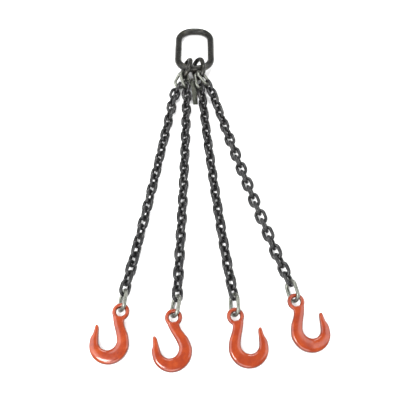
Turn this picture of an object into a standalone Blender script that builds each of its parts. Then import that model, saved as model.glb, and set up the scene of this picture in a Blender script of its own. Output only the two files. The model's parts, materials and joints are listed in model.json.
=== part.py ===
"""Four leg chain sling, laid out flat on a floor at z = 0.

+X runs to the right, +Y from the hooks to the master link, +Z up. The origin is on the floor under
the middle of the sling's box. Two sub links hang on the master link, each sub link carries two
coupling links, and each coupling link carries a leg of chain that ends in a coupling link and an
eye hook. An identification tag hangs on a ring on the second coupling link.

Every link is an oval bent from round bar. Its own X axis runs across it and its own -Y axis runs
down the sling, towards the hooks. A piece's origin lies on its hinge axis, at the centre of the
bar that it turns on.
"""
from math import asin, atan2, cos, degrees, pi, radians, sin

import bmesh
import bpy
from mathutils import Matrix, Vector

# Lengths are in metres and angles in degrees.
ORIGIN_IN_LAYOUT = Vector((0.0261, 0.1123, 0.0))
GAP = 0.0005

# Chain: two or three links in a row make one segment, and they are bedded into each other.
CHAIN_BAR = 0.010
CHAIN_INNER_WIDTH = 0.0145
CHAIN_INNER_LENGTH = 0.0277
LINK_BEDDING = 0.0006
LINKS_IN_SEGMENTS = (2, 3, 3, 3, 3, 3, 3, 3, 3)

# Master link, sub links and coupling links.
MASTER_BAR = 0.023
MASTER_INNER_WIDTH = 0.088
MASTER_INNER_LENGTH = 0.176
MASTER_CORNER_RADIUS = 0.049
SUB_BAR = 0.015
SUB_INNER_WIDTH = 0.034
SUB_INNER_LENGTH = 0.0545
COUPLING_BAR = 0.010
UPPER_COUPLING_INNER_WIDTH = 0.020
UPPER_COUPLING_INNER_LENGTH = 0.0437
LOWER_COUPLING_INNER_WIDTH = 0.0235
LOWER_COUPLING_INNER_LENGTH = 0.0437
COUPLING_SLACK = 0.0026
EYE_SLACK = 0.0030

# Eye hook. Its own origin is the centre of the eye. The outline is drawn around the bowl's centre,
# with the throat opening up and to the left.
EYE_RING_RADIUS = 0.0170
EYE_BAR = 0.0112
EYE_FROM_BOWL = Vector((0.0335, 0.0690, 0.0))
BOWL_INNER_RADIUS = 0.0225
BOWL_OUTER_RADIUS = 0.0500
BOWL_OUTER_CENTRE = Vector((0.0035, -0.0080, 0.0))
HOOK_THICKNESS = 0.020
HOOK_CHAMFER = 0.0045
HOOK_REACH = 0.1280

# Identification tag and its ring, which hangs on one upper coupling link's right side bar.
TAG_ON_LEG = 2
TAG_LENGTH = 0.095
TAG_WIDTH = 0.015
TAG_THICKNESS = 0.0025
TAG_HOLE_RADIUS = 0.004
TAG_HOLE_SIDES = 16
TAG_HOLE_FROM_END = 0.008
TAG_RING_RADIUS = 0.0110
TAG_RING_BAR = 0.003
TAG_RING_DOWN = 0.0344
TAG_RING_OFFSET = 0.0031
TAG_RING_HEADING = 87.5
TAG_RING_FALL = -25.6
TAG_RING_ROLL = 101.4
TAG_HEADING = 5.3
TAG_ROLL = -8.8

# Layout on the floor, before the origin is moved. Headings are measured from -Y towards +X.
MASTER_BAR_Y = 0.492
MASTER_BAR_X = -0.0187
MASTER_BAR_Z = 0.0310

# How far the upper bars of these links stand above the centre of the bar that they hang on.
SUB_RISE = (MASTER_BAR + SUB_BAR) / 2 + 0.0161
UPPER_COUPLING_RISE = (SUB_BAR + COUPLING_BAR) / 2 + COUPLING_SLACK

# Each sub link: where it crosses the master link's bar, its heading and its roll.
SUB_LINKS = {
    "sub_link_left": (-0.0461, -10.4, 58.9),
    "sub_link_right": (-0.0045, 11.1, 54.0),
}

# Each leg: its sub link and the place on that link's round end, the upper coupling link's heading
# and roll, the chain's headings (first, second and last segment) and its rolls (at the top, a third
# and two thirds of the way down, and at the end), the lower coupling link's heading and roll, and
# the hook's heading and side.
LEGS = (
    {"sub": "sub_link_left", "place": -32.7, "coupling": (-24.0, -35.5),
     "chain": (-17.0, -8.4, -10.5), "rolls": (64.0, 28.0, 22.0, 54.0),
     "end": (-5.0, 60.0), "hook": (-21.0, 1)},
    {"sub": "sub_link_left", "place": 3.4, "coupling": (18.4, -35.4),
     "chain": (1.0, -0.5, -2.4), "rolls": (61.0, 50.0, 50.0, 52.0),
     "end": (-8.0, 58.0), "hook": (-6.0, 1)},
    {"sub": "sub_link_right", "place": -25.9, "coupling": (8.5, -42.1),
     "chain": (8.5, 5.2, 8.2), "rolls": (45.0, 44.0, 44.0, 48.0),
     "end": (3.0, 58.0), "hook": (26.0, -1)},
    {"sub": "sub_link_right", "place": 11.1, "coupling": (46.9, -33.9),
     "chain": (22.8, 15.0, 18.0), "rolls": (68.0, 30.0, 24.0, 52.0),
     "end": (12.0, 60.0), "hook": (26.0, -1)},
)

PARTS = "four_leg_chain_sling"
CUTTERS = "cutters"


def clear_scene():
    for obj in list(bpy.data.objects):
        bpy.data.objects.remove(obj, do_unlink=True)


def collection(name):
    found = bpy.data.collections.get(name)
    if found is None:
        found = bpy.data.collections.new(name)
        bpy.context.scene.collection.children.link(found)
    return found


def material(name, colour, roughness, metallic):
    made = bpy.data.materials.get(name) or bpy.data.materials.new(name)
    made.use_nodes = True
    shader = made.node_tree.nodes["Principled BSDF"]
    shader.inputs["Base Color"].default_value = (*colour, 1.0)
    shader.inputs["Roughness"].default_value = roughness
    shader.inputs["Metallic"].default_value = metallic
    return made


def direction(heading, fall=0.0):
    """Unit vector that runs down the sling at this heading, and falls by this angle."""
    level = cos(radians(fall))
    return Vector((
        sin(radians(heading)) * level,
        -cos(radians(heading)) * level,
        -sin(radians(fall)),
    ))


def link_matrix(point, along, across):
    """Frame at a point: own -Y runs along, own X runs across, squared up to be at right angles."""
    y_axis = -along.normalized()
    x_axis = (across - across.dot(y_axis) * y_axis).normalized()
    z_axis = x_axis.cross(y_axis)
    rotation = Matrix((x_axis, y_axis, z_axis)).transposed().to_4x4()
    return Matrix.Translation(point) @ rotation


def rolled_matrix(point, along, roll):
    """Frame at a point whose X axis is level and is then rolled about the link's length."""
    level_x = Vector((-along.y, along.x, 0.0)).normalized()
    frame = link_matrix(point, along, level_x)
    return frame @ Matrix.Rotation(radians(-roll), 4, "Y")


def oval_path(inner_width, inner_length, bar, steps, corner_radius=None, rise=0.0):
    """Closed centre line of a link whose upper bar is this far above the origin, down to -Y."""
    half_width = (inner_width + bar) / 2
    half_length = (inner_length + bar) / 2
    radius = min(corner_radius or half_width, half_width)
    path = []
    for quarter, (side_x, side_y) in enumerate(((1, 1), (-1, 1), (-1, -1), (1, -1))):
        for step in range(steps + 1):
            angle = (quarter + step / steps) * pi / 2
            point = Vector((
                side_x * (half_width - radius) + radius * cos(angle),
                side_y * (half_length - radius) + radius * sin(angle) - half_length + rise,
                0.0,
            ))
            if not path or (point - path[-1]).length > GAP:
                path.append(point)
    if (path[0] - path[-1]).length < GAP:
        path.pop()
    return path


def bar_object(name, path, bar, rings, target):
    """Round bar along a closed path, as a curve with a bevel."""
    curve = bpy.data.curves.new(name, "CURVE")
    curve.dimensions = "3D"
    curve.bevel_depth = bar / 2
    curve.bevel_resolution = rings
    spline = curve.splines.new("POLY")
    spline.points.add(len(path) - 1)
    for spot, point in zip(spline.points, path):
        spot.co = (*point, 1.0)
    spline.use_cyclic_u = True
    spline.use_smooth = True
    obj = bpy.data.objects.new(name, curve)
    collection(target).objects.link(obj)
    return obj


def as_mesh(obj):
    """The evaluated shape of an object as a mesh object in the same place."""
    bpy.context.view_layer.update()
    graph = bpy.context.evaluated_depsgraph_get()
    mesh = bpy.data.meshes.new_from_object(obj.evaluated_get(graph))
    made = bpy.data.objects.new(obj.name + "_mesh", mesh)
    obj.users_collection[0].objects.link(made)
    made.matrix_world = obj.matrix_world
    bpy.data.objects.remove(obj, do_unlink=True)
    return made


def combined(objects, operation):
    """One mesh from overlapping mesh objects, which are removed."""
    base = objects[0]
    for other in objects[1:]:
        join = base.modifiers.new("join", "BOOLEAN")
        join.operation = operation
        join.solver = "EXACT"
        join.object = other
    bpy.context.view_layer.update()
    graph = bpy.context.evaluated_depsgraph_get()
    mesh = bpy.data.meshes.new_from_object(base.evaluated_get(graph))
    for obj in objects:
        bpy.data.objects.remove(obj, do_unlink=True)
    return mesh


def place(name, data, matrix, finish):
    """A named part at a frame given in the layout."""
    obj = bpy.data.objects.new(name, data)
    collection(PARTS).objects.link(obj)
    obj.matrix_world = Matrix.Translation(-ORIGIN_IN_LAYOUT) @ matrix
    data.materials.clear()
    data.materials.append(finish)
    return obj


def oval_part(name, path, bar, rings, matrix, finish):
    obj = bar_object(name, path, bar, rings, PARTS)
    obj.matrix_world = Matrix.Translation(-ORIGIN_IN_LAYOUT) @ matrix
    obj.data.materials.append(finish)
    return obj


def segment_mesh(count):
    """Straight run of chain links, each a quarter turn from the last, joined where they bear."""
    path = oval_path(CHAIN_INNER_WIDTH, CHAIN_INNER_LENGTH, CHAIN_BAR, 2)
    links = []
    for index in range(count):
        link = bar_object("link", path, CHAIN_BAR, 1, CUTTERS)
        down = index * (CHAIN_INNER_LENGTH + LINK_BEDDING)
        link.matrix_world = (
            Matrix.Translation((0.0, -down, 0.0)) @ Matrix.Rotation(index * pi / 2, 4, "Y")
        )
        links.append(as_mesh(link))
    mesh = combined(links, "UNION")
    mesh.name = f"chain_of_{count}"
    mesh.shade_smooth()
    return mesh


def segment_length(count):
    """From the centre of the first link's upper bar to the centre of the last link's lower bar."""
    pitch = CHAIN_INNER_LENGTH + LINK_BEDDING
    return (count - 1) * pitch + CHAIN_INNER_LENGTH + CHAIN_BAR


def hook_stations():
    """Inner edge, outer edge and thickness of the hook, from the neck round the bowl to the point."""
    stations = [
        (Vector((0.0134, 0.0600, 0)), Vector((0.0455, 0.0520, 0)), 0.009),
        (Vector((0.0139, 0.0490, 0)), Vector((0.0415, 0.0455, 0)), 0.013),
        (Vector((0.0157, 0.0375, 0)), Vector((0.0425, 0.0350, 0)), 0.017),
        (Vector((0.0184, 0.0250, 0)), Vector((0.0470, 0.0215, 0)), 0.019),
        (Vector((0.0211, 0.0115, 0)), Vector((0.0515, 0.0080, 0)), HOOK_THICKNESS),
    ]
    bowl_steps = 8
    for step in range(bowl_steps + 1):
        angle = -radians(8 + step * 164 / bowl_steps)
        ray = Vector((cos(angle), sin(angle), 0.0))
        inner = BOWL_INNER_RADIUS * ray
        outer = BOWL_OUTER_CENTRE + BOWL_OUTER_RADIUS * ray
        stations.append((inner, outer, HOOK_THICKNESS))
    stations += [
        (Vector((-0.0226, 0.0075, 0)), Vector((-0.0443, 0.0075, 0)), 0.018),
        (Vector((-0.0222, 0.0187, 0)), Vector((-0.0373, 0.0205, 0)), 0.015),
        (Vector((-0.0216, 0.0298, 0)), Vector((-0.0338, 0.0317, 0)), 0.012),
        (Vector((-0.0226, 0.0383, 0)), Vector((-0.0315, 0.0392, 0)), 0.009),
        (Vector((-0.0254, 0.0422, 0)), Vector((-0.0291, 0.0424, 0)), 0.005),
    ]
    return stations


def hook_section(inner, outer, thickness):
    """Chamfered flat section between the hook's two edges."""
    across = outer - inner
    chamfer = min(HOOK_CHAMFER, 0.36 * thickness, 0.36 * across.length)
    edge = across.normalized() * chamfer
    half = Vector((0.0, 0.0, thickness / 2))
    low_half = Vector((0.0, 0.0, thickness / 2 - chamfer))
    return [
        inner + edge + half, outer - edge + half, outer + low_half, outer - low_half,
        outer - edge - half, inner + edge - half, inner - low_half, inner + low_half,
    ]


def hook_mesh():
    """Hook body lofted along its outline and joined to the eye ring. The origin is the eye's centre."""
    loft = bmesh.new()
    rings = []
    for inner, outer, thickness in hook_stations():
        section = hook_section(inner, outer, thickness)
        rings.append([loft.verts.new(point - EYE_FROM_BOWL) for point in section])
    for ring, following in zip(rings, rings[1:]):
        for index in range(len(ring)):
            after = (index + 1) % len(ring)
            loft.faces.new((ring[index], ring[after], following[after], following[index]))
    loft.faces.new(rings[0])
    loft.faces.new(rings[-1])
    bmesh.ops.recalc_face_normals(loft, faces=loft.faces)
    mesh = bpy.data.meshes.new("hook_body")
    loft.to_mesh(mesh)
    loft.free()
    body = bpy.data.objects.new("hook_body", mesh)
    collection(CUTTERS).objects.link(body)
    bpy.ops.mesh.primitive_torus_add(
        major_radius=EYE_RING_RADIUS, minor_radius=EYE_BAR / 2, major_segments=20, minor_segments=8
    )
    made = combined([body, bpy.context.active_object], "UNION")
    made.name = "eye_hook"
    return made


def mirrored(mesh):
    """Copy of a mesh that opens to the other side."""
    half = bmesh.new()
    half.from_mesh(mesh)
    bmesh.ops.scale(half, vec=(-1.0, 1.0, 1.0), verts=half.verts)
    bmesh.ops.reverse_faces(half, faces=half.faces)
    copy = bpy.data.meshes.new(mesh.name + "_mirrored")
    half.to_mesh(copy)
    half.free()
    return copy


def build_master(finish):
    path = oval_path(
        MASTER_INNER_WIDTH, MASTER_INNER_LENGTH, MASTER_BAR, 4, MASTER_CORNER_RADIUS
    )
    length = MASTER_INNER_LENGTH + MASTER_BAR
    rise = MASTER_BAR_Z - MASTER_BAR / 2
    run = (length ** 2 - rise ** 2) ** 0.5
    top = Vector((MASTER_BAR_X, MASTER_BAR_Y + run, MASTER_BAR / 2))
    bottom = Vector((MASTER_BAR_X, MASTER_BAR_Y, MASTER_BAR_Z))
    matrix = link_matrix(top, bottom - top, Vector((1, 0, 0)))
    return oval_part("master_link", path, MASTER_BAR, 3, matrix, finish)


def build_sub_link(name, finish):
    """Sub link looped round the master link's lower bar. Returns its frame in the layout."""
    bar_x, heading, roll = SUB_LINKS[name]
    path = oval_path(SUB_INNER_WIDTH, SUB_INNER_LENGTH, SUB_BAR, 3, rise=SUB_RISE)
    bar_centre = Vector((bar_x, MASTER_BAR_Y, MASTER_BAR_Z))
    matrix = rolled_matrix(bar_centre, direction(heading), roll)
    oval_part(name, path, SUB_BAR, 2, matrix, finish)
    return matrix


def round_end(sub_frame, angle):
    """Point on the centre line of a sub link's lower round end."""
    radius = (SUB_INNER_WIDTH + SUB_BAR) / 2
    centre_y = SUB_RISE - (SUB_INNER_LENGTH + SUB_BAR) + radius
    turn = radians(angle)
    return sub_frame @ Vector((radius * sin(turn), centre_y - radius * cos(turn), 0.0))


def lying_height(inner_width, bar, roll):
    """Height of a rolled link's middle when its lower side rests on the floor."""
    return bar / 2 + (inner_width + bar) / 2 * max(abs(sin(radians(roll))), abs(cos(radians(roll))))


def build_upper_coupling(number, leg, sub_frame, finish):
    """Coupling link on a sub link's round end. Returns its frame, its lower bar and its direction."""
    bar_point = round_end(sub_frame, leg["place"])
    reach = UPPER_COUPLING_INNER_LENGTH + COUPLING_BAR - UPPER_COUPLING_RISE
    height = lying_height(CHAIN_INNER_WIDTH, CHAIN_BAR, leg["rolls"][0])
    fall = degrees(asin((bar_point.z - height) / reach))
    heading, roll = leg["coupling"]
    along = direction(heading, fall)
    matrix = rolled_matrix(bar_point, along, roll)
    path = oval_path(
        UPPER_COUPLING_INNER_WIDTH, UPPER_COUPLING_INNER_LENGTH, COUPLING_BAR, 3,
        rise=UPPER_COUPLING_RISE,
    )
    oval_part(f"upper_coupling_{number}", path, COUPLING_BAR, 2, matrix, finish)
    return matrix, bar_point + reach * along, along


def chain_roll(rolls, links_done):
    """Roll of a link this far down the leg, between the values given at even steps."""
    step = (len(rolls) - 1) * links_done / sum(LINKS_IN_SEGMENTS)
    before = int(step)
    return rolls[before] + (rolls[before + 1] - rolls[before]) * (step - before)


def build_chain(number, point, along, leg, meshes, finish):
    """Segments of one leg, below the coupling link's lower bar. Returns the last bar's centre."""
    first_heading, second_heading, last_heading = leg["chain"]
    count = len(LINKS_IN_SEGMENTS)
    end_height = lying_height(LOWER_COUPLING_INNER_WIDTH, COUPLING_BAR, leg["end"][1])
    back = (COUPLING_BAR + CHAIN_BAR) / 2 + COUPLING_SLACK
    links_done = 0
    for index, links in enumerate(LINKS_IN_SEGMENTS):
        share = (index - 1) / (count - 2)
        heading = second_heading + (last_heading - second_heading) * share
        if index == 0:
            heading = first_heading
        origin = point - back * along
        roll = chain_roll(leg["rolls"], links_done)
        next_roll = chain_roll(leg["rolls"], min(links_done + links, sum(LINKS_IN_SEGMENTS) - 1))
        height = max(lying_height(CHAIN_INNER_WIDTH, CHAIN_BAR, value) for value in (roll, next_roll))
        if index == count - 1:
            height = end_height
        length = segment_length(links)
        along = direction(heading, degrees(asin((origin.z - height) / length)))
        matrix = rolled_matrix(origin, along, roll + 90 * (links_done % 2))
        place(f"leg_{number}_chain_{index + 1}", meshes[links], matrix, finish)
        point = origin + length * along
        links_done += links
        back = CHAIN_BAR + GAP
    return point


def build_lower_coupling(number, leg, above, finish):
    """Coupling link at the end of a leg. Returns its lower bar's centre."""
    heading, roll = leg["end"]
    along = direction(heading)
    back = (CHAIN_BAR + COUPLING_BAR) / 2 + COUPLING_SLACK
    origin = above - back * along
    matrix = rolled_matrix(origin, along, roll)
    path = oval_path(LOWER_COUPLING_INNER_WIDTH, LOWER_COUPLING_INNER_LENGTH, COUPLING_BAR, 3)
    oval_part(f"lower_coupling_{number}", path, COUPLING_BAR, 2, matrix, finish)
    return origin + (LOWER_COUPLING_INNER_LENGTH + COUPLING_BAR) * along


def build_hook(number, leg, bar, meshes, finish):
    """Hook whose eye hangs on the coupling link's lower bar, where its pivot is. The bowl is down."""
    heading, side = leg["hook"]
    reach = EYE_RING_RADIUS - (COUPLING_BAR + EYE_BAR) / 2 - EYE_SLACK
    eye = bar + reach * direction(leg["end"][0])
    drawn_heading = -side * degrees(atan2(EYE_FROM_BOWL.x, EYE_FROM_BOWL.y))
    turn = Matrix.Rotation(radians(heading - drawn_heading), 4, "Z")
    fall = asin((eye.z - HOOK_THICKNESS / 2) / HOOK_REACH)
    tilt = Matrix.Rotation(-fall, 4, direction(heading).cross(Vector((0, 0, 1))))
    hook = place(f"hook_{number}", meshes[side], Matrix.Translation(eye) @ tilt @ turn, finish)
    pivot = bpy.data.objects.new(f"hook_{number}_pivot", None)
    collection(PARTS).objects.link(pivot)
    pivot.matrix_world = Matrix.Translation(bar - ORIGIN_IN_LAYOUT)
    hook.parent = pivot
    hook.matrix_parent_inverse = pivot.matrix_world.inverted()


def tag_mesh():
    """Flat plate with a hole near its upper end. The origin is the hole's centre."""
    middle = TAG_HOLE_FROM_END - TAG_LENGTH / 2
    bpy.ops.mesh.primitive_cube_add(size=1.0, location=(0.0, middle, 0.0))
    plate = bpy.context.active_object
    plate.scale = (TAG_WIDTH, TAG_LENGTH, TAG_THICKNESS)
    bpy.ops.mesh.primitive_cylinder_add(
        radius=TAG_HOLE_RADIUS, depth=2 * TAG_THICKNESS, vertices=TAG_HOLE_SIDES
    )
    mesh = combined([plate, bpy.context.active_object], "DIFFERENCE")
    mesh.transform(Matrix.Translation((0.0, middle, 0.0)) @ Matrix.Diagonal(
        (TAG_WIDTH, TAG_LENGTH, TAG_THICKNESS, 1.0)
    ))
    return mesh


def build_tag(coupling, finish):
    """Ring round the coupling link's side bar, and the tag that hangs on the ring."""
    side = (UPPER_COUPLING_INNER_WIDTH + COUPLING_BAR) / 2
    on_bar = coupling @ Vector((side, UPPER_COUPLING_RISE - TAG_RING_DOWN, 0.0))
    outward = direction(TAG_RING_HEADING, TAG_RING_FALL)
    ring_frame = rolled_matrix(on_bar, outward, TAG_RING_ROLL)
    inner = 2 * TAG_RING_RADIUS - TAG_RING_BAR
    path = oval_path(inner, inner, TAG_RING_BAR, 6, rise=TAG_RING_RADIUS - TAG_RING_OFFSET)
    oval_part("tag_ring", path, TAG_RING_BAR, 2, ring_frame, finish)
    hole = on_bar + (TAG_RING_OFFSET + TAG_RING_RADIUS) * outward
    fall = degrees(asin((hole.z - TAG_THICKNESS) / (TAG_LENGTH - TAG_HOLE_FROM_END)))
    place("id_tag", tag_mesh(), rolled_matrix(hole, direction(TAG_HEADING, fall), TAG_ROLL), finish)


def main():
    clear_scene()
    finishes = {
        "bar": material("black_oxide_bar", (0.045, 0.045, 0.038), 0.42, 0.85),
        "chain": material("black_chain", (0.038, 0.039, 0.040), 0.45, 0.80),
        "silver": material("bright_zinc", (0.42, 0.43, 0.40), 0.32, 1.0),
        "paint": material("red_paint", (0.66, 0.065, 0.022), 0.28, 0.0),
        "tag": material("tag_metal", (0.16, 0.17, 0.15), 0.45, 0.9),
    }
    chain_meshes = {count: segment_mesh(count) for count in sorted(set(LINKS_IN_SEGMENTS))}
    hook = hook_mesh()
    hook_meshes = {1: hook, -1: mirrored(hook)}
    build_master(finishes["bar"])
    sub_frames = {name: build_sub_link(name, finishes["bar"]) for name in SUB_LINKS}
    for number, leg in enumerate(LEGS, start=1):
        sub_frame = sub_frames[leg["sub"]]
        frame, bar, along = build_upper_coupling(number, leg, sub_frame, finishes["silver"])
        if number == TAG_ON_LEG:
            build_tag(frame, finishes["tag"])
        bar = build_chain(number, bar, along, leg, chain_meshes, finishes["chain"])
        bar = build_lower_coupling(number, leg, bar, finishes["silver"])
        build_hook(number, leg, bar, hook_meshes, finishes["paint"])


main()
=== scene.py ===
"""Four leg chain sling lying on a pale floor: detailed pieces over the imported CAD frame.

Every oval link is a round bar swept along its own centre line, with a weld swelling on one side
and worn seats where it bears. Hooks are lofted along their outline and blended into their eyes.
"""

import json
from math import asin, atan2, copysign, cos, degrees, exp, pi, radians, sin

import bmesh
import bpy
import numpy as np
from mathutils import Matrix, Vector


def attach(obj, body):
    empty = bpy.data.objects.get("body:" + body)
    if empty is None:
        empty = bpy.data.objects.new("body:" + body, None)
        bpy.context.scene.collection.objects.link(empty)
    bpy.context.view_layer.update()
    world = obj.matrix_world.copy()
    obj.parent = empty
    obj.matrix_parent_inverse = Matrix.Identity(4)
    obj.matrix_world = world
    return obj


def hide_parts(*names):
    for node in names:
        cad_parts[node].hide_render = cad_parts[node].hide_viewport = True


# Lengths are in metres and angles in degrees.
MASTER_BAR = 0.023
MASTER_CORNER_RADIUS = 0.049
SUB_BAR = 0.015
COUPLING_BAR = 0.010
CHAIN_BAR = 0.010
CHAIN_INNER_WIDTH = 0.0145
CHAIN_INNER_LENGTH = 0.0277
LINK_BEDDING = 0.0006
LINKS_IN_SEGMENTS = (2, 3, 3, 3, 3, 3, 3, 3, 3)
TAG_LENGTH = 0.095
TAG_WIDTH = 0.015
TAG_THICKNESS = 0.0025
TAG_HOLE_RADIUS = 0.004
TAG_HOLE_FROM_END = 0.008
TAG_RING_RADIUS = 0.0110
TAG_RING_BAR = 0.003
TAG_EDGE = 0.0005

# Weld swelling and wear of the inner crowns, as shares of the bar's radius. The ridge, the shoulder
# and the seat are as long as these shares of the bar.
MASTER_WELD, MASTER_WEAR = 0.04, 0.01
OVAL_WELD, OVAL_WEAR = 0.05, 0.03
CHAIN_WELD, CHAIN_WEAR = 0.09, 0.06
WELD_RIDGE = 0.30
WELD_SHOULDER = 0.62
SEAT = 0.45

# Steps round a link's bar, round a quarter bend and along a straight side.
MASTER_STEPS = (48, 20, 18)
SUB_STEPS = (40, 20, 12)
COUPLING_STEPS = (32, 16, 10)
CHAIN_STEPS = (28, 12, 10)

# Eye hook: the outline is drawn round the bowl's centre, with the throat up and to the left.
EYE_RING_RADIUS = 0.0170
EYE_BAR = 0.0112
EYE_FROM_BAR = 0.0034
EYE_FROM_BOWL = Vector((0.0335, 0.0690, 0.0))
BOWL_INNER_RADIUS = 0.0225
BOWL_OUTER_RADIUS = 0.0500
BOWL_OUTER_CENTRE = Vector((0.0035, -0.0080, 0.0))
HOOK_THICKNESS = 0.020
HOOK_REACH = 0.1280
HOOK_SQUARENESS = 2.9
HOOK_SKIN_VOXEL = 0.0009
EYE_STRETCH = 1.06
BOWL_START, BOWL_SWEEP, BOWL_STEPS = 8, 164, 8

# Heading of each hook, and the side on which its throat lies.
HOOKS = {1: (-21.0, 1), 2: (-6.0, 1), 3: (26.0, -1), 4: (26.0, -1)}

LEGS = (1, 2, 3, 4)
FLOOR_SIZE = 12.0
FLOOR_DROP = 0.0006

CAMERA_TARGET = Vector((-0.0261, -0.1123, 0.014))
CAMERA_DISTANCE = 1.4359
CAMERA_SLANT = 29.55
CAMERA_LENS = 45.0
CAMERA_SENSOR = 36.0

WORLD_STRENGTH = 0.70
# Name, place, target, size and power in watts.
LIGHTS = (
    ("left", (-1.5, -0.2, 1.3), (0.0, 0.0, 0.0), (1.6, 2.0), 44.0),
    ("right", (1.5, -0.1, 1.3), (0.0, 0.0, 0.0), (1.6, 2.0), 36.0),
    ("front", (-0.2, -1.7, 1.1), (0.0, -0.3, 0.0), (1.2, 0.7), 20.0),
    ("top", (-0.75, -1.0, 1.5), (0.0, -0.3, 0.0), (0.50, 0.50), 28.0),
    ("back", (0.0, 1.15, 1.6), (0.0, 0.2, 0.0), (1.4, 0.35), 26.0),
)

# Noise values between which scuffs set in, and steepness over which the painted shade, a dark rim
# on steep sides, fades out.
SCUFFS = (0.56, 0.68)
SCUFF_GRAIN = 6
RIM_SHADE_BAND = (0.40, 0.90)
COAT_ROUGHNESS = 0.06


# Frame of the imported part

def joint_of(body):
    """Position and axis of the joint that carries a body."""
    joint = next(j for j in JOINTS if j["child"] == body)
    return Vector(joint["pos_m"]), Vector(joint["axis"])


def corners(node):
    """Corner points of a CAD node, each one once."""
    mesh = frame["nodes"][node].data
    points = np.array([vertex.co for vertex in mesh.vertices])
    return np.unique(points.round(6), axis=0)


def principal_frame(node):
    """Middle, axes and extents of a CAD node: own X across, Y along and Z through its plane."""
    points = corners(node)
    centre = points.mean(axis=0)
    _, vectors = np.linalg.eigh(np.cov((points - centre).T))
    x_axis, y_axis = Vector(vectors[:, 1]), Vector(vectors[:, 2])
    if y_axis.y < 0:
        y_axis = -y_axis
    z_axis = x_axis.cross(y_axis)
    spans = []
    middle = Vector()
    for axis in (x_axis, y_axis, z_axis):
        along = points @ np.array(axis)
        low, high = float(along.min()), float(along.max())
        spans.append(high - low)
        middle += (low + high) / 2 * axis
    rotation = Matrix((x_axis, y_axis, z_axis)).transposed().to_4x4()
    return Matrix.Translation(middle) @ rotation, spans


def frame_from(origin, along, across):
    """Frame at an origin: own -Y runs along and own X runs across."""
    y_axis = -along.normalized()
    x_axis = (across - across.dot(y_axis) * y_axis).normalized()
    z_axis = x_axis.cross(y_axis)
    rotation = Matrix((x_axis, y_axis, z_axis)).transposed().to_4x4()
    return Matrix.Translation(origin) @ rotation


# Meshes

def oval_line(half_width, half_length, radius, arc_steps, side_steps):
    """Centre line of a link and its outward directions, round its middle."""
    line = []
    signs = ((1, 1), (-1, 1), (-1, -1), (1, -1))
    for quarter, (side_x, side_y) in enumerate(signs):
        centre = Vector((side_x * (half_width - radius), side_y * (half_length - radius)))
        for step in range(arc_steps + 1):
            angle = (quarter + step / arc_steps) * pi / 2
            outward = Vector((cos(angle), sin(angle)))
            line.append((centre + radius * outward, outward))
        next_x, next_y = signs[(quarter + 1) % 4]
        target = Vector((next_x * (half_width - radius), next_y * (half_length - radius)))
        gap = (target - centre).length
        if gap < 1e-5:
            line.pop()
            continue
        for step in range(1, side_steps):
            line.append((line[-1][0] + (target - centre) / side_steps, outward))
    return line


def swept_link(width, length, bar, corner_radius, steps, weld, wear):
    """Round bar link, centred, with a weld swelling on its right side and worn inner crowns.

    Width and length are between the bar's centre lines.
    """
    sides, arc_steps, side_steps = steps
    half_width = width / 2
    half_length = length / 2
    line = oval_line(half_width, half_length, corner_radius, arc_steps, side_steps)
    built = bmesh.new()
    rings = []
    for point, outward in line:
        swelling = 0.0
        if point.x > 0:
            ridge = exp(-((point.y / (WELD_RIDGE * bar)) ** 2))
            shoulder = exp(-((point.y / (WELD_SHOULDER * bar)) ** 4))
            swelling = weld * (0.45 * ridge + 0.55 * shoulder)
        crown = 0.0
        if abs(point.y) > 0.5 * half_length:
            crown = exp(-((point.x / (SEAT * bar)) ** 2))
        ring = []
        for side in range(sides):
            angle = 2 * pi * side / sides
            radius = bar / 2 * (1 + swelling)
            if cos(angle) < 0:
                radius *= 1 - wear * crown * cos(angle) ** 2
            reach = radius * cos(angle)
            lift = radius * sin(angle)
            place = point + reach * outward
            ring.append(built.verts.new((place.x, place.y, lift)))
        rings.append(ring)
    for index, ring in enumerate(rings):
        following = rings[(index + 1) % len(rings)]
        for side in range(sides):
            after = (side + 1) % sides
            built.faces.new((ring[side], following[side], following[after], ring[after]))
    return finished(built)


def finished(built):
    """Smooth shaded mesh with its faces turned outwards."""
    bmesh.ops.recalc_face_normals(built, faces=built.faces)
    mesh = bpy.data.meshes.new("built")
    built.to_mesh(mesh)
    built.free()
    mesh.shade_smooth()
    return mesh


def smooth_curve(values, shares):
    """Catmull-Rom values at fractional positions along a list of vectors."""
    values = np.array(values, float)
    last = len(values) - 1
    out = []
    for share in shares:
        index = min(int(share), last - 1)
        t = share - index
        p1, p2 = values[index], values[index + 1]
        p0 = values[index - 1] if index > 0 else 2 * p1 - p2
        p3 = values[index + 2] if index + 2 <= last else 2 * p2 - p1
        out.append(0.5 * (
            2 * p1 + (p2 - p0) * t + (2 * p0 - 5 * p1 + 4 * p2 - p3) * t ** 2
            + (3 * p1 - p0 - 3 * p2 + p3) * t ** 3
        ))
    return np.array(out)


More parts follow.
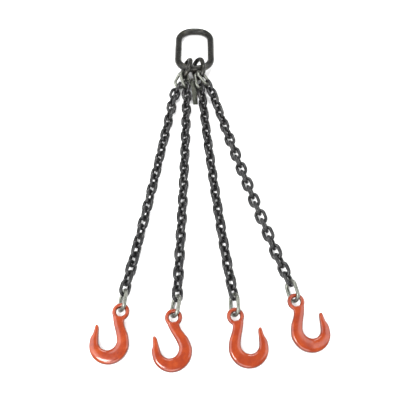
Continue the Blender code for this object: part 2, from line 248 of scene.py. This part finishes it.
def hook_stations():
    """Inner edge, outer edge and thickness of the hook, from its neck round the bowl to the point.

    The edges are drawn in the hook's plane, round the bowl's centre.
    """
    stations = [
        ((0.0128, 0.0620), (0.0470, 0.0545), 0.0100),
        ((0.0132, 0.0550), (0.0432, 0.0500), 0.0120),
        ((0.0141, 0.0470), (0.0418, 0.0435), 0.0148),
        ((0.0157, 0.0370), (0.0428, 0.0340), 0.0174),
        ((0.0184, 0.0250), (0.0470, 0.0215), 0.0190),
        ((0.0211, 0.0115), (0.0515, 0.0080), HOOK_THICKNESS),
    ]
    for step in range(BOWL_STEPS + 1):
        angle = -radians(BOWL_START + step * BOWL_SWEEP / BOWL_STEPS)
        ray = Vector((cos(angle), sin(angle)))
        inner = BOWL_INNER_RADIUS * ray
        outer = BOWL_OUTER_CENTRE.xy + BOWL_OUTER_RADIUS * ray
        stations.append((tuple(inner), tuple(outer), HOOK_THICKNESS))
    stations += [
        ((-0.0226, 0.0075), (-0.0443, 0.0075), 0.0180),
        ((-0.0222, 0.0187), (-0.0373, 0.0205), 0.0155),
        ((-0.0216, 0.0298), (-0.0338, 0.0317), 0.0125),
        ((-0.0224, 0.0378), (-0.0318, 0.0388), 0.0098),
        ((-0.0243, 0.0412), (-0.0304, 0.0416), 0.0066),
        ((-0.0262, 0.0426), (-0.0286, 0.0427), 0.0026),
    ]
    return stations


def hook_body():
    """Hook without its eye, lofted with flat sides and rounded edges, from the eye's centre."""
    stations = hook_stations()
    rows = [[*inner, *outer, thickness] for inner, outer, thickness in stations]
    per_station = 5
    shares = np.linspace(0, len(rows) - 1, per_station * (len(rows) - 1) + 1)
    sides = 36
    built = bmesh.new()
    rings = []
    for row in smooth_curve(rows, shares).tolist():
        inner = Vector((row[0], row[1], 0.0)) - EYE_FROM_BOWL
        outer = Vector((row[2], row[3], 0.0)) - EYE_FROM_BOWL
        middle = (inner + outer) / 2
        half = (outer - inner) / 2
        ring = []
        for side in range(sides):
            angle = 2 * pi * side / sides
            across = copysign(abs(cos(angle)) ** (2 / HOOK_SQUARENESS), cos(angle))
            lift = copysign(abs(sin(angle)) ** (2 / HOOK_SQUARENESS), sin(angle))
            ring.append(built.verts.new(
                middle + across * half + Vector((0.0, 0.0, lift * row[4] / 2))
            ))
        rings.append(ring)
    for ring, following in zip(rings, rings[1:]):
        for side in range(sides):
            after = (side + 1) % sides
            built.faces.new((ring[side], ring[after], following[after], following[side]))
    built.faces.new(rings[0])
    built.faces.new(rings[-1])
    return finished(built)


def eye_ring():
    """Eye of the hook, a little thicker than it is wide in section."""
    bpy.ops.mesh.primitive_torus_add(
        major_radius=EYE_RING_RADIUS, minor_radius=EYE_BAR / 2, major_segments=96, minor_segments=36
    )
    ring = bpy.context.active_object
    for vertex in ring.data.vertices:
        vertex.co.z *= EYE_STRETCH
    return ring


def hook_mesh():
    """Forged hook in one skin: the body and the eye run into each other with a small fillet."""
    ring = eye_ring()
    body = bpy.data.objects.new("hook_body", hook_body())
    bpy.context.scene.collection.objects.link(body)
    join = body.modifiers.new("join", "BOOLEAN")
    join.operation = "UNION"
    join.solver = "EXACT"
    join.object = ring
    skin = body.modifiers.new("skin", "REMESH")
    skin.mode = "VOXEL"
    skin.voxel_size = HOOK_SKIN_VOXEL
    skin.use_smooth_shade = True
    soften = body.modifiers.new("soften", "SMOOTH")
    soften.factor = 0.5
    soften.iterations = 5
    mesh = evaluated(body)
    bpy.data.objects.remove(ring, do_unlink=True)
    bpy.data.objects.remove(body, do_unlink=True)
    mesh.shade_smooth()
    return mesh


def evaluated(obj):
    """Mesh of an object with its modifiers applied."""
    bpy.context.view_layer.update()
    graph = bpy.context.evaluated_depsgraph_get()
    return bpy.data.meshes.new_from_object(obj.evaluated_get(graph))


def tag_mesh():
    """Flat plate with a hole near its upper end and broken edges, from the hole's centre."""
    bpy.ops.mesh.primitive_grid_add(x_subdivisions=6, y_subdivisions=38, size=1.0)
    plate = bpy.context.active_object
    plate.data.transform(Matrix.Diagonal((TAG_WIDTH, TAG_LENGTH, 1.0, 1.0)))
    plate.data.transform(Matrix.Translation((0.0, TAG_HOLE_FROM_END - TAG_LENGTH / 2, 0.0)))
    thick = plate.modifiers.new("thick", "SOLIDIFY")
    thick.thickness = TAG_THICKNESS
    thick.offset = 0.0
    bpy.ops.mesh.primitive_cylinder_add(
        radius=TAG_HOLE_RADIUS, depth=4 * TAG_THICKNESS, vertices=48
    )
    cutter = bpy.context.active_object
    hole = plate.modifiers.new("hole", "BOOLEAN")
    hole.operation = "DIFFERENCE"
    hole.solver = "EXACT"
    hole.object = cutter
    edge = plate.modifiers.new("edge", "BEVEL")
    edge.width = TAG_EDGE
    edge.segments = 3
    edge.limit_method = "ANGLE"
    edge.angle_limit = radians(40)
    mesh = evaluated(plate)
    bpy.data.objects.remove(plate, do_unlink=True)
    bpy.data.objects.remove(cutter, do_unlink=True)
    mesh.shade_smooth()
    mesh.set_sharp_from_angle(angle=radians(35))
    return mesh


def tag_ring_mesh():
    bpy.ops.mesh.primitive_torus_add(
        major_radius=TAG_RING_RADIUS, minor_radius=TAG_RING_BAR / 2,
        major_segments=72, minor_segments=20,
    )
    ring = bpy.context.active_object
    mesh = ring.data
    bpy.data.objects.remove(ring, do_unlink=True)
    mesh.shade_smooth()
    return mesh


# Materials

def ramp_stops(ramp, stops):
    """Set a colour ramp's positions and colours."""
    elements = ramp.color_ramp.elements
    while len(elements) < len(stops):
        elements.new(0.5)
    for element, (position, colour) in zip(elements, stops):
        element.position = position
        element.color = (*colour, 1.0)


def overlay(nodes, links, factor, under, colour):
    """The colour under, with a plain colour over it where factor is high."""
    blend = nodes.new("ShaderNodeMix")
    blend.data_type = "RGBA"
    amount, first, second = blend.inputs[0], blend.inputs[6], blend.inputs[7]
    second.default_value = (*colour, 1.0)
    links.new(factor, amount)
    links.new(under, first)
    return blend.outputs[2]


def painted_rim_shade(nodes, links, where, under, colour, strength):
    """Painted shade: a dark rim, full where the surface stands steep and fading out towards the
    flat top and underside.
    """
    split = nodes.new("ShaderNodeSeparateXYZ")
    links.new(where.outputs["Normal"], split.inputs["Vector"])
    steep = nodes.new("ShaderNodeMath")
    steep.operation = "ABSOLUTE"
    links.new(split.outputs["Z"], steep.inputs[0])
    band = nodes.new("ShaderNodeMapRange")
    band.interpolation_type = "SMOOTHSTEP"
    band.inputs["From Min"].default_value = RIM_SHADE_BAND[0]
    band.inputs["From Max"].default_value = RIM_SHADE_BAND[1]
    band.inputs["To Min"].default_value = strength
    band.inputs["To Max"].default_value = 0.0
    links.new(steep.outputs["Value"], band.inputs["Value"])
    return overlay(nodes, links, band.outputs["Result"], under, colour)


def surface(name, stops, worn, roughness, metallic, grain, bump, coat=0.0, specular=0.5, line=None):
    """Metal or paint whose colour drifts in patches, with scuffs and a fine grain in its relief.

    Worn and line each hold a colour and how strongly it shows, for scuffs and for the painted shade
    on steep sides.
    Grain holds the scale of the patches and of the fine grain.
    """
    made = bpy.data.materials.new(name)
    made.use_nodes = True
    nodes = made.node_tree.nodes
    links = made.node_tree.links
    shader = nodes["Principled BSDF"]
    shader.inputs["Metallic"].default_value = metallic
    shader.inputs["Specular IOR Level"].default_value = specular
    shader.inputs["Coat Weight"].default_value = coat
    shader.inputs["Coat Roughness"].default_value = COAT_ROUGHNESS
    where = nodes.new("ShaderNodeTexCoord")

    patches = nodes.new("ShaderNodeTexNoise")
    patches.inputs["Scale"].default_value = grain[0]
    patches.inputs["Detail"].default_value = 5.0
    patches.inputs["Roughness"].default_value = 0.62
    links.new(where.outputs["Object"], patches.inputs["Vector"])
    ramp = nodes.new("ShaderNodeValToRGB")
    ramp_stops(ramp, stops)
    links.new(patches.outputs["Fac"], ramp.inputs["Fac"])

    rubbed = nodes.new("ShaderNodeTexNoise")
    rubbed.inputs["Scale"].default_value = SCUFF_GRAIN * grain[0]
    rubbed.inputs["Detail"].default_value = 8.0
    rubbed.inputs["Distortion"].default_value = 1.2
    links.new(where.outputs["Object"], rubbed.inputs["Vector"])
    scuffs = nodes.new("ShaderNodeMapRange")
    scuffs.inputs["From Min"].default_value = SCUFFS[0]
    scuffs.inputs["From Max"].default_value = SCUFFS[1]
    scuffs.inputs["To Max"].default_value = worn[1]
    links.new(rubbed.outputs["Fac"], scuffs.inputs["Value"])
    colour = overlay(nodes, links, scuffs.outputs["Result"], ramp.outputs["Color"], worn[0])
    # Painted shade: a dark rim on steep sides, where line is given.
    if line:
        colour = painted_rim_shade(nodes, links, where, colour, *line)
    links.new(colour, shader.inputs["Base Color"])

    fine = nodes.new("ShaderNodeTexNoise")
    fine.inputs["Scale"].default_value = grain[1]
    fine.inputs["Detail"].default_value = 6.0
    fine.inputs["Roughness"].default_value = 0.55
    links.new(where.outputs["Object"], fine.inputs["Vector"])
    dull = nodes.new("ShaderNodeMapRange")
    dull.inputs["From Min"].default_value = 0.3
    dull.inputs["From Max"].default_value = 0.7
    dull.inputs["To Min"].default_value = roughness[0]
    dull.inputs["To Max"].default_value = roughness[1]
    links.new(fine.outputs["Fac"], dull.inputs["Value"])
    links.new(dull.outputs["Result"], shader.inputs["Roughness"])

    relief = nodes.new("ShaderNodeBump")
    relief.inputs["Strength"].default_value = bump[0]
    relief.inputs["Distance"].default_value = bump[1]
    links.new(fine.outputs["Fac"], relief.inputs["Height"])
    links.new(relief.outputs["Normal"], shader.inputs["Normal"])
    return made


def make_materials():
    return {
        "black_oxide_bar": surface(
            "black_oxide_bar",
            ((0.34, (0.013, 0.013, 0.013)), (0.55, (0.027, 0.027, 0.025)),
             (0.72, (0.062, 0.057, 0.036))),
            ((0.13, 0.12, 0.09), 0.55),
            (0.18, 0.34), 0.75, (26.0, 620.0), (0.26, 0.0004), specular=0.35,
        ),
        "black_chain": surface(
            "black_chain",
            ((0.32, (0.012, 0.012, 0.013)), (0.55, (0.023, 0.023, 0.024)),
             (0.74, (0.050, 0.049, 0.046))),
            ((0.12, 0.12, 0.115), 0.50),
            (0.18, 0.36), 0.70, (60.0, 900.0), (0.26, 0.0003), specular=0.35,
        ),
        "bright_zinc": surface(
            "bright_zinc",
            ((0.30, (0.085, 0.090, 0.078)), (0.55, (0.145, 0.150, 0.130)),
             (0.75, (0.23, 0.23, 0.21))),
            ((0.05, 0.05, 0.045), 0.55),
            (0.22, 0.34), 0.85, (70.0, 500.0), (0.10, 0.0002), specular=0.4,
        ),
        "red_paint": surface(
            "red_paint",
            ((0.30, (0.135, 0.013, 0.002)), (0.50, (0.182, 0.021, 0.002)),
             (0.70, (0.225, 0.033, 0.004))),
            ((0.095, 0.007, 0.002), 0.45),
            (0.16, 0.26), 0.0, (34.0, 260.0), (0.16, 0.0005), coat=0.45, specular=0.2,
            # Painted shade: a dark rim on the hook's steep sides.
            line=((0.040, 0.009, 0.005), 0.75),
        ),
        "tag_metal": surface(
            "tag_metal",
            ((0.34, (0.018, 0.020, 0.016)), (0.55, (0.034, 0.036, 0.029)),
             (0.76, (0.080, 0.080, 0.068))),
            ((0.13, 0.13, 0.11), 0.50),
            (0.28, 0.50), 0.9, (120.0, 900.0), (0.30, 0.0002), specular=0.35,
        ),
    }


def put(name, template, matrix, body, finish, replaced=None):
    """A piece at its place on a body. Its surface pattern follows its place at rest."""
    mesh = template.copy()
    mesh.transform(matrix)
    mesh.materials.clear()
    mesh.materials.append(MATERIALS[finish])
    piece = bpy.data.objects.new(name, mesh)
    bpy.context.scene.collection.objects.link(piece)
    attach(piece, body)
    if replaced:
        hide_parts(replaced)
    return piece


# Pieces

def build_oval(node, bar, finish, steps, corner_radius=None, weld=OVAL_WELD, wear=OVAL_WEAR):
    """Oval link that stands for a CAD node, at the node's own place and size."""
    matrix, (wide, long, _) = principal_frame(node)
    width = wide - bar
    length = long - bar
    template = swept_link(width, length, bar, corner_radius or width / 2, steps, weld, wear)
    return put(node + "_bar", template, matrix, node, finish, node)


def build_chain(leg, template):
    """The links of one leg, two or three on each segment's body."""
    for index, count in enumerate(LINKS_IN_SEGMENTS, start=1):
        node = f"leg_{leg}_chain_{index}"
        following = f"leg_{leg}_chain_{index + 1}"
        if index == len(LINKS_IN_SEGMENTS):
            following = f"lower_coupling_{leg}"
        origin, across = joint_of(node)
        along = (joint_of(following)[0] - origin).normalized()
        segment = frame_from(origin, along, across)
        for number in range(count):
            down = number * (CHAIN_INNER_LENGTH + LINK_BEDDING)
            middle = down + (CHAIN_INNER_LENGTH + CHAIN_BAR) / 2
            matrix = (
                segment @ Matrix.Translation((0.0, -middle, 0.0))
                @ Matrix.Rotation(number * pi / 2, 4, "Y")
            )
            replaced = node if number == 0 else None
            put(f"{node}_link_{number + 1}", template, matrix, node, "black_chain", replaced)


def build_hook(number, templates):
    """Hook on its coupling link's lower bar, with its bowl down on the floor."""
    heading, side = HOOKS[number]
    node = f"hook_{number}"
    bar, _ = joint_of(node)
    above, _ = joint_of(f"lower_coupling_{number}")
    eye = bar + EYE_FROM_BAR * (bar - above).normalized()
    drawn = -side * degrees(atan2(EYE_FROM_BOWL.x, EYE_FROM_BOWL.y))
    turn = Matrix.Rotation(radians(heading - drawn), 4, "Z")
    down = Vector((sin(radians(heading)), -cos(radians(heading)), 0.0))
    fall = (eye.z - HOOK_THICKNESS / 2) / HOOK_REACH
    tilt = Matrix.Rotation(-asin(fall), 4, down.cross(Vector((0, 0, 1))))
    put(node + "_forged", templates[side], Matrix.Translation(eye) @ tilt @ turn, node,
        "red_paint", node)


def mirrored(mesh):
    """Left and right changed over."""
    copy = mesh.copy()
    copy.transform(Matrix.Diagonal((-1.0, 1.0, 1.0, 1.0)))
    copy.flip_normals()
    return copy


def build_tag():
    hole, across = joint_of("id_tag")
    matrix, _ = principal_frame("id_tag")
    along = -(matrix.to_3x3() @ Vector((0.0, 1.0, 0.0)))
    put("id_tag_plate", tag_mesh(), frame_from(hole, along, across), "id_tag", "tag_metal",
        "id_tag")
    matrix, _ = principal_frame("tag_ring")
    put("tag_ring_wire", tag_ring_mesh(), matrix, "tag_ring", "tag_metal", "tag_ring")


def build_floor():
    bpy.ops.mesh.primitive_plane_add(size=FLOOR_SIZE, location=(0.0, 0.0, -FLOOR_DROP))
    floor = bpy.context.active_object
    floor.name = "floor"
    pale = bpy.data.materials.new("pale_floor")
    pale.use_nodes = True
    nodes = pale.node_tree.nodes
    links = pale.node_tree.links
    shader = nodes["Principled BSDF"]
    shader.inputs["Roughness"].default_value = 0.9
    shader.inputs["Specular IOR Level"].default_value = 0.1
    noise = nodes.new("ShaderNodeTexNoise")
    noise.inputs["Scale"].default_value = 3.0
    ramp = nodes.new("ShaderNodeValToRGB")
    ramp_stops(ramp, ((0.3, (0.90, 0.90, 0.90)), (0.7, (0.93, 0.93, 0.93))))
    links.new(noise.outputs["Fac"], ramp.inputs["Fac"])
    links.new(ramp.outputs["Color"], shader.inputs["Base Color"])
    floor.data.materials.append(pale)


def area_light(name, place, target, size, energy):
    light = bpy.data.lights.new(name, "AREA")
    light.shape = "RECTANGLE"
    light.size, light.size_y = size
    light.energy = energy
    lamp = bpy.data.objects.new(name, light)
    bpy.context.scene.collection.objects.link(lamp)
    lamp.location = place
    lamp.rotation_euler = (Vector(target) - Vector(place)).to_track_quat("-Z", "Y").to_euler()


def build_lights():
    world = bpy.data.worlds.new("studio")
    world.use_nodes = True
    background = world.node_tree.nodes["Background"]
    background.inputs["Color"].default_value = (1.0, 1.0, 1.0, 1.0)
    background.inputs["Strength"].default_value = WORLD_STRENGTH
    bpy.context.scene.world = world
    for light in LIGHTS:
        area_light(*light)


def build_camera():
    """Camera above the hooks' end, looking down at a slant. Up in the view is +Y."""
    slant = radians(CAMERA_SLANT)
    lens = bpy.data.cameras.new("camera")
    lens.sensor_width = CAMERA_SENSOR
    lens.lens = CAMERA_LENS
    lens.clip_start = 0.05
    lens.clip_end = 50.0
    camera = bpy.data.objects.new("camera", lens)
    bpy.context.scene.collection.objects.link(camera)
    camera.location = CAMERA_TARGET + CAMERA_DISTANCE * Vector((0.0, -sin(slant), cos(slant)))
    camera.rotation_euler = (slant, 0.0, 0.0)
    bpy.context.scene.camera = camera


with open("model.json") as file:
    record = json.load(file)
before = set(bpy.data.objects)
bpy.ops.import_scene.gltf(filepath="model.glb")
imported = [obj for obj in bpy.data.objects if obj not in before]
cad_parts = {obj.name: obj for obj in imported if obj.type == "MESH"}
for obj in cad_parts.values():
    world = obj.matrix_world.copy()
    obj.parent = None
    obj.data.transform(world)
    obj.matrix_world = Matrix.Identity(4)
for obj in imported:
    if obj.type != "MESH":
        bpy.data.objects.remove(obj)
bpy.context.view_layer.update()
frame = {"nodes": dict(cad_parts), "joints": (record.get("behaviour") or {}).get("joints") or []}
JOINTS = frame["joints"]
MATERIALS = make_materials()

build_oval("master_link", MASTER_BAR, "black_oxide_bar", MASTER_STEPS, MASTER_CORNER_RADIUS,
           MASTER_WELD, MASTER_WEAR)
for sub_link in ("sub_link_left", "sub_link_right"):
    build_oval(sub_link, SUB_BAR, "black_oxide_bar", SUB_STEPS)
for leg in LEGS:
    build_oval(f"upper_coupling_{leg}", COUPLING_BAR, "bright_zinc", COUPLING_STEPS)
    build_oval(f"lower_coupling_{leg}", COUPLING_BAR, "bright_zinc", COUPLING_STEPS)
chain_width = CHAIN_INNER_WIDTH + CHAIN_BAR
chain_link = swept_link(
    chain_width, CHAIN_INNER_LENGTH + CHAIN_BAR, CHAIN_BAR, chain_width / 2, CHAIN_STEPS,
    CHAIN_WELD, CHAIN_WEAR,
)
for leg in LEGS:
    build_chain(leg, chain_link)
hook = hook_mesh()
hook_templates = {1: hook, -1: mirrored(hook)}
for leg in LEGS:
    build_hook(leg, hook_templates)
build_tag()
build_floor()
build_lights()
build_camera()
bpy.context.scene.view_settings.view_transform = "Standard"
